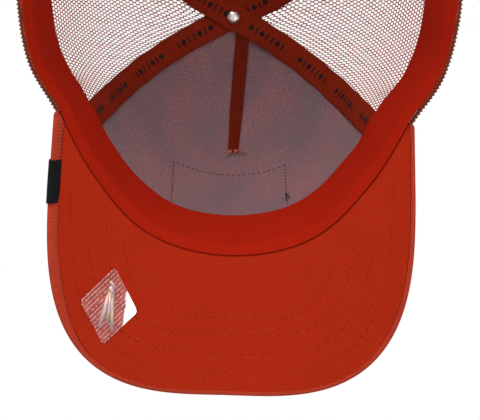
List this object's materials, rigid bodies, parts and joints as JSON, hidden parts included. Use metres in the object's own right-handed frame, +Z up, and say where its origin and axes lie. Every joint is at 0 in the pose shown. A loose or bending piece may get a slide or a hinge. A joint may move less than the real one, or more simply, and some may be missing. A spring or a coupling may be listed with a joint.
{
  "type": "trucker cap",
  "caption": "Trucker cap with a padded fabric front, mesh sides and back, a curved stiff visor and an adjustable snap closure.",
  "frame": {"origin": "on the table, at the middle of the footprint box: the cap stands on the rear of its rim and the two sides of its visor", "axes": "+Z up, the visor points along -Y, +X is the wearer's left; the plane of the rim is tipped 5.6 degrees nose-up"},
  "size_m": [0.1808, 0.2584, 0.134],
  "materials": {
    "front_twill": "coarse diagonal twill, orange red",
    "front_foam": "open-cell padding, cream",
    "front_lining": "fine grey mauve knit lining",
    "mesh": "open hexagonal polyester net, reddish brown",
    "tape": "narrow woven tape, dark rust",
    "sweatband": "smooth fine weave, orange red",
    "interlining": "white non-woven stiffener",
    "visor_board": "milky white plastic sheet",
    "visor_under": "smooth fine weave, orange red",
    "thread": "matching sewing thread",
    "button_metal": "pressed steel",
    "rivet": "bright plated rivet",
    "binding": "folded woven binding, orange red",
    "patch": "cream woven patch with a plain geometric picture",
    "patch_border": "dense satin-stitched edge, dark rust",
    "side_tag": "black woven ribbon",
    "sticker": "silver foil sticker with fine stripes",
    "strap": "flexible moulded plastic, orange red"
  },
  "bodies": {
    "cap": {"front_panel": "front_twill", "front_foam": "front_foam", "front_lining": "front_lining", "left_side_mesh": "mesh", "right_side_mesh": "mesh", "left_back_mesh": "mesh", "right_back_mesh": "mesh", "left_seam_tape": "tape", "right_seam_tape": "tape", "dart_tape": "tape", "back_seam_tape": "tape", "sweatband": "sweatband", "sweatband_interlining": "interlining", "visor_board": "visor_board", "visor_top_cover": "front_twill", "visor_under_cover": "visor_under", "visor_stitching": "thread", "button_cover": "front_twill", "button_shell": "button_metal", "button_rivet": "rivet", "rear_opening_binding": "binding", "front_patch": "patch", "front_patch_border": "patch_border", "visor_side_tag": "side_tag", "visor_sticker": "sticker", "left_strap_root": "strap", "right_strap_root": "strap", "strap_stitching": "thread"},
    "holes_strap_body": {"holes_strap": "strap"},
    "pegs_strap_body": {"pegs_strap": "strap"}
  },
  "joints": [
    {"name": "holes_strap_swing", "type": "hinge", "parent": "cap", "child": "holes_strap_body", "pos_m": [0.04056, 0.11804, 0.00187], "axis": [0.0842, 0.0544, -0.995], "range_deg": [0, 70], "stiffness_Nm_per_rad": 0.01},
    {"name": "pegs_strap_swing", "type": "hinge", "parent": "cap", "child": "pegs_strap_body", "pos_m": [-0.03978, 0.11665, 0.00201], "axis": [-0.0842, 0.0544, -0.995], "range_deg": [0, 25], "stiffness_Nm_per_rad": 0.01}
  ]
}
